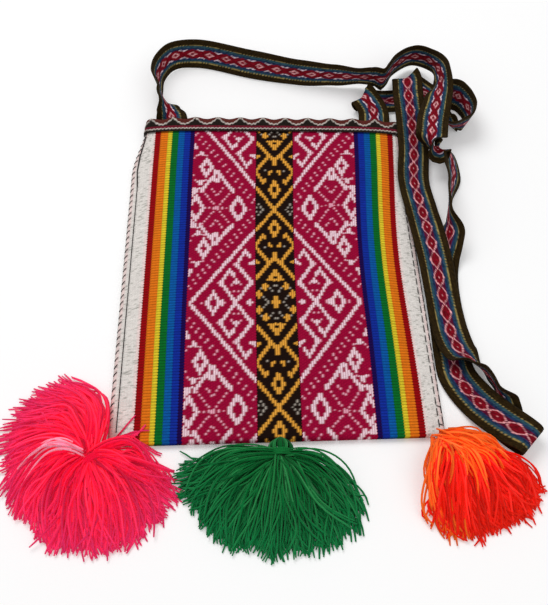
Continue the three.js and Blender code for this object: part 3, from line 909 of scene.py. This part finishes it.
def head(rng, start, end, radius):
    """Strands that run side by side round a tassel's rounded head, from one point to another."""
    start, end = np.array([start, end], dtype=float)
    forward = unit(end - start)
    across = unit(np.cross([0, 0, 1.0], forward))
    lift = np.cross(forward, across)
    angle = 2 * math.pi * np.arange(HEAD_STRANDS) / HEAD_STRANDS
    angle = angle + rng.uniform(-HEAD_JITTER, HEAD_JITTER, HEAD_STRANDS)
    t = np.linspace(0, 1, STRAND_STEPS)
    swell = radius * (mix(*HEAD_RADII, t) + HEAD_BULGE * np.sin(math.pi * t))
    circle = np.cos(angle)[:, None] * across + np.sin(angle)[:, None] * lift
    return start + t[None, :, None] * (end - start) + swell[None, :, None] * circle[:, None]


def shades(rng, name, count):
    """A colour for each strand: they differ in brightness, and the bright ones get a little white, a
    painted highlight.
    """
    bright = rng.normal(1, BRIGHTNESS_SPREAD, (count, 1)).clip(*BRIGHTNESS_LIMITS)
    return linear(name) * bright + HIGHLIGHT_PALENESS * np.maximum(bright - 1, 0)


# Each spray of a tassel has a colour and the painted light of its tips, a number of locks and of strands in
# a lock, the layers it lies in, the two roots it starts between and its outline. A head has its colour, its
# two ends and its radius, and a tie its middle, the azimuth of the yarn there and its radius.
PINK_ROOTS = ((-106, -138, 13),) * 2
GREEN_ROOTS = ((0, -138, 9),) * 2
TASSELS = {
    "pink_tassel": {
        "finish": glowing_finish,
        "sprays": [
            ("pink_yarn", "pink_tip", 130, 13, (0, 1), PINK_ROOTS, [
                (113, 65, -44), (126, 62, -40), (144, 58, -34), (160, 58, -30), (180, 51, -30),
                (187, 43, -36), (194, 52, -40), (209, 50, -30), (240, 50, -15), (270, 54, 0),
                (285, 56, 8), (309, 54, 18), (335, 52, 24), (346, 48, 18), (356, 40, 10)]),
            ("pink_yarn", "pink_tip", 3, 3, (0, 0.3), PINK_ROOTS, [(15, 36, 12), (46, 33, 10)]),
            ("pale_pink_yarn", "pale_pink_yarn", 2, 9, (1.2, 1.4), PINK_ROOTS, [
                (184, 52, -45), (200, 50, -45)]),
        ],
        "head": None,
        "tie": ((-104, -142, 13), 125, 7.6),
    },
    "green_tassel": {
        "finish": tassel_finish,
        "sprays": [
            ("green_yarn", "green_tip", 95, 13, (0, 1), GREEN_ROOTS, [
                (185, 62, 0), (191, 61, -5), (210, 57, -16), (231, 58, -15), (258, 57, -6), (274, 54, 0),
                (293, 57, 6), (310, 57, 12), (322, 58, 14), (329, 50, 16)]),
        ],
        "head": ("green_yarn", (0, -126, 9), (0, -137, 9), 6.2),
        "tie": ((0, -137, 9), -90, 6.6),
    },
    "orange_tassel": {
        "finish": glowing_finish,
        "sprays": [
            ("red_orange_yarn", "orange_tip", 70, 12, (0, 0.9), ((92, -134, 12), (116, -141, 11)), [
                (266, 47, 0), (275, 50, 0), (288, 46, 0), (308, 40, 6), (325, 36, 10)]),
            ("orange_yarn", "orange_yarn", 16, 12, (0, 0.8), ((87, -131, 12), (91, -133, 12)), [
                (274, 48, -8), (281, 53, -4)]),
            ("orange_yarn", "orange_yarn", 16, 12, (0.6, 1.1), ((90, -128, 12), (94, -129, 13)), [
                (325, 51, 10), (333, 46, 8)]),
            ("orange_yarn", "orange_tip", 26, 1, (1.4, 1.7), ((90, -132, 12), (110, -136, 12)), [
                (272, 46, 4), (316, 38, 4)]),
        ],
        "head": ("orange_yarn", (90, -128, 9), (96, -137, 9.5), 6.6),
        "tie": ((96, -137, 9.5), -60, 7),
    },
}


def make_tassel(name, spec, seed):
    rng = np.random.default_rng(seed)
    paths, colours, lit_tips = [], [], []
    for colour, tip, locks, strands, *form in spec["sprays"]:
        strand_paths, layer = mop(rng, locks, strands, *form)
        paths.append(strand_paths)
        # strands lower in the mop are darker, those on top lighter: painted shade and painted light
        colours.append(shades(rng, colour, locks * strands) * mix(*LAYER_LIGHT_AND_SHADE, layer))
        lit_tips.append(np.tile(linear(tip), (locks * strands, 1)))
    if spec["head"]:
        colour, *form = spec["head"]
        paths.append(head(rng, *form))
        colours.append(shades(rng, colour, HEAD_STRANDS))
        lit_tips.append(colours[-1])
    paths = np.concatenate(paths)
    radii = STRAND_RADIUS * rng.uniform(*RADIUS_RANGE, len(paths))
    yarn = tubes(name, paths, radii, np.concatenate(colours), spec["finish"], np.concatenate(lit_tips))
    slot = name.replace("tassel", "yarn")
    turns = winding(*spec["tie"])[None]
    tie = tubes(f"{name}_winding", turns, [TIE_RADIUS], shades(rng, slot, 1), spec["finish"])
    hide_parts(f"{name}_yarn")
    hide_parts(f"{name}_tie")
    for piece in (yarn, tie):
        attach(piece, "root")


for number, (name, spec) in enumerate(TASSELS.items()):
    make_tassel(name, spec, SEED + 10 + number)


# Edging round the mouth: levels go from 0 at the cloth to 1 at the rim
EDGING_START = MOUTH_Y - EDGING_DEPTH
EDGING_END = MOUTH_Y + 2.4
EDGING_CLEAR = 0.4
EDGING_OUT = 1
EDGING_ROUND = (0.1, 0.9)
EDGING_FACES = 300
EDGING_ROWS = 27
SIDE_STEPS = 9
SCALLOP = 0.9
WAVE_PITCH = 15.8
WAVE_PEAK_X = 7.4
WAVE_LEVELS = (0.97, 0.52)
WAVE_HALF = 0.062
CORD_LEVEL = 0.19
CORD_HALF = 0.042
PLY_PITCH = 2.6
PLY_SWING = 0.03
MAROON_LEVELS = (0.2, 0.42)
PALE_RELIEF = 0.3
LINING_INSET = 1
LINING_DEPTHS = (1.5, 8)
EDGING_SPECKLE = 0.25
EDGING_LIMITS = (0.4, 1.6)


def mouth_girth(y, margin):
    """Points round the mouth at y, grown by a margin, as x and z."""
    half, middle, puff, left, right, square = section(min(y, MOUTH_Y))
    x = np.linspace(-left, right, EDGING_FACES + 1)
    rise = crown(x, np.where(x < 0, left, right), puff, square)
    front = np.stack([x, middle + half + margin + rise], axis=-1)
    angle = np.linspace(math.pi / 2, -math.pi / 2, SIDE_STEPS)[1:-1]
    turn = (half + margin) * np.stack([np.cos(angle), np.sin(angle)], axis=-1)
    right_side = turn + [right, middle]
    left_side = turn[::-1] * [-1, 1] + [-left, middle]
    back = np.stack([x[::-1], np.full_like(x, middle - half - margin)], axis=-1)
    return np.concatenate([front, right_side, back, left_side])


def edging_pattern(level, x):
    """Colours along one row of the edging, and where its pale yarn runs: a cord and a wave."""
    wave = mix(*WAVE_LEVELS, np.abs(np.sin(math.pi * (x - WAVE_PEAK_X) / WAVE_PITCH)))
    twist = PLY_SWING * np.sin(2 * math.pi * x / PLY_PITCH)
    pale = (np.abs(level - CORD_LEVEL - twist) < CORD_HALF) | (np.abs(level - wave - twist) < WAVE_HALF)
    low, high = MAROON_LEVELS
    below = "edging_maroon" if low < level < high else "edging_dark"
    colour = painted(linear("edging_brown"), level < wave, below)
    return painted(colour, pale, "edging_white"), pale


def make_edging():
    rng = np.random.default_rng(SEED + 20)
    points, colours = [], []

    def add_row(x, y, z, colour):
        points.append(np.stack([x, y + skew(x, y), z], axis=-1))
        colours.append(speckled(rng, colour, EDGING_SPECKLE, EDGING_LIMITS))

    for level in np.linspace(0, 1, EDGING_ROWS):
        y = mix(EDGING_START, EDGING_END, level)
        margin = EDGING_CLEAR + EDGING_OUT * math.sin(math.pi * mix(*EDGING_ROUND, level)) ** 0.5
        low = mouth_girth(y, margin)
        high = mouth_girth(y, margin + PALE_RELIEF)
        colour, pale = edging_pattern(level, low[:, 0])
        x, z = np.where(pale[:, None], high, low).T
        scallop = SCALLOP * level ** 3 * np.cos(2 * math.pi * (x - WAVE_PEAK_X) / WAVE_PITCH)
        add_row(x, y + scallop, z, colour)
    x, z = mouth_girth(MOUTH_Y, -LINING_INSET).T
    dark = np.tile(linear("edging_dark"), (len(x), 1))
    for depth in LINING_DEPTHS:
        add_row(x, np.full_like(x, EDGING_END - depth), z, dark)
    points = np.array(points)
    faces = grid_faces(len(points), points.shape[1], closed=True)
    return make_object("mouth_edging_weave", points, faces, np.array(colours), edging_finish)


edging = make_edging()
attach(edging, "root")
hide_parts("mouth_edging")


# Thread that sews up the sides
THREAD_RADIUS = 0.28
SEAM_RADIUS = 0.45
STITCH = 5
STITCH_STEPS = 5
RIGHT_PITCH = 7.2
SEAM_TOP = 60
LEFT = -1
RIGHT = 1


def side_point(sign, inset, y):
    """Points of the front cloth at an inset from its side."""
    half, middle, puff, left, right, square = section(y)
    flank = left if sign < 0 else right
    x = flank + half - inset
    rounding = np.clip((half - inset) / half, 0, 1)
    z = middle + half * np.sqrt(1 - rounding ** 2) + crown(x, flank, puff, square)
    return np.stack([sign * x, y + skew(sign * x, y), z + THREAD_RADIUS], axis=-1)


def stitches(sign, insets, places, length):
    """Stitches that start at places along a side and run from one inset to another."""
    t = np.linspace(0, 1, STITCH_STEPS)
    inset = np.broadcast_to(mix(*insets, t), (len(places), STITCH_STEPS))
    return side_point(sign, inset, places[:, None] + length * t)


def make_thread():
    rng = np.random.default_rng(SEED + 30)
    overcast = stitches(LEFT, insets=(0.2, 2.4), places=np.arange(-111, 107, STITCH), length=2.2)
    seam_low = stitches(LEFT, insets=(5, 5), places=np.arange(-118, SEAM_TOP, STITCH), length=STITCH)
    seam_high = stitches(LEFT, insets=(5, 1), places=np.array([62.0]), length=54)
    outer = stitches(RIGHT, insets=(0.8, 0.8), places=np.arange(-118, SEAM_TOP, RIGHT_PITCH), length=STITCH)
    inner = stitches(RIGHT, insets=(3.4, 3.4), places=np.arange(-120, SEAM_TOP, RIGHT_PITCH), length=STITCH)
    across = stitches(RIGHT, insets=(0.8, 3.4), places=np.array([-119.0, -107]), length=0.8)
    paths = np.concatenate([overcast, seam_low, outer, inner, across, seam_high])
    radii = np.full(len(paths), THREAD_RADIUS)
    radii[-len(seam_high):] = SEAM_RADIUS
    return tubes("side_thread", paths, radii, shades(rng, "thread", len(paths)), thread_finish)


thread = make_thread()
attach(thread, "root")
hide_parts("pouch_body")


# Floor, light and camera, with places and sizes of floor and lights in metres
FLOOR_REACH = 6
FLOOR_COLOUR = (0.88, 0.88, 0.88, 1)
FLOOR_GLOW = 0.2
ROOM_COLOUR = (1, 1, 1, 1)
ROOM_LIGHT = 0.45
CAMERA_AT = (-6.6, -366.1, 501.4)
CAMERA_ELEVATION = 56
CAMERA_YAW = -0.72
LENS = 63.25
SENSOR = 36


def add_light(name, aim_point, place, size, power):
    light = bpy.data.lights.new(name, "AREA")
    light.shape = "DISK"
    light.size = size
    light.energy = power
    lamp = add_object(name, light)
    lamp.location = place
    aim = lamp.constraints.new("TRACK_TO")
    aim.target = aim_point
    aim.track_axis = "TRACK_NEGATIVE_Z"
    aim.up_axis = "UP_Y"


def floor_material():
    """Matte white that looks brighter to the camera and in mirrors and glass than it lights the pouch."""
    material = bpy.data.materials.new("floor_white")
    material.use_nodes = True
    tree = material.node_tree
    link = tree.links.new
    tree.nodes.clear()
    matte = add_node(tree, "ShaderNodeBsdfDiffuse", {"Color": FLOOR_COLOUR})
    glow = add_node(tree, "ShaderNodeEmission", {"Strength": FLOOR_GLOW})
    rays = add_node(tree, "ShaderNodeLightPath")
    seen = rays.outputs["Is Camera Ray"]
    for kind in ("Is Glossy Ray", "Is Transmission Ray"):
        either = add_node(tree, "ShaderNodeMath", operation="MAXIMUM")
        link(seen, either.inputs[0])
        link(rays.outputs[kind], either.inputs[1])
        seen = either.outputs["Value"]
    both = add_node(tree, "ShaderNodeAddShader")
    pick = add_node(tree, "ShaderNodeMixShader")
    out = add_node(tree, "ShaderNodeOutputMaterial")
    link(matte.outputs[0], both.inputs[0])
    link(glow.outputs[0], both.inputs[1])
    link(seen, pick.inputs["Fac"])
    link(matte.outputs[0], pick.inputs[1])
    link(both.outputs[0], pick.inputs[2])
    link(pick.outputs[0], out.inputs["Surface"])
    return material


def make_floor():
    mesh = bpy.data.meshes.new("floor")
    corners = [(-1, -1), (1, -1), (1, 1), (-1, 1)]
    mesh.from_pydata([(FLOOR_REACH * x, FLOOR_REACH * y, 0) for x, y in corners], [], [(0, 1, 2, 3)])
    mesh.materials.append(floor_material())
    floor = add_object("floor", mesh)


def make_lights():
    aim_point = add_object("light_aim", None)
    add_light("key_light", aim_point, place=(-0.5, 0.7, 1.5), size=1.2, power=13)
    add_light("fill_light", aim_point, place=(0.6, -0.9, 1.2), size=1.4, power=5)
    world = bpy.data.worlds.new("soft_room")
    scene.world = world
    world.use_nodes = True
    set_inputs(world.node_tree.nodes["Background"], {"Color": ROOM_COLOUR, "Strength": ROOM_LIGHT})


def make_camera():
    """A camera that stands in front of the pouch and looks down at it."""
    optics = bpy.data.cameras.new("camera")
    optics.sensor_fit = "HORIZONTAL"
    optics.sensor_width = SENSOR
    optics.lens = LENS
    camera = add_object("camera", optics)
    camera.location = [value * MM for value in CAMERA_AT]
    camera.rotation_euler = (math.radians(90 - CAMERA_ELEVATION), 0, math.radians(CAMERA_YAW))
    scene.camera = camera


make_floor()
make_lights()
make_camera()
scene.view_settings.view_transform = "Standard"
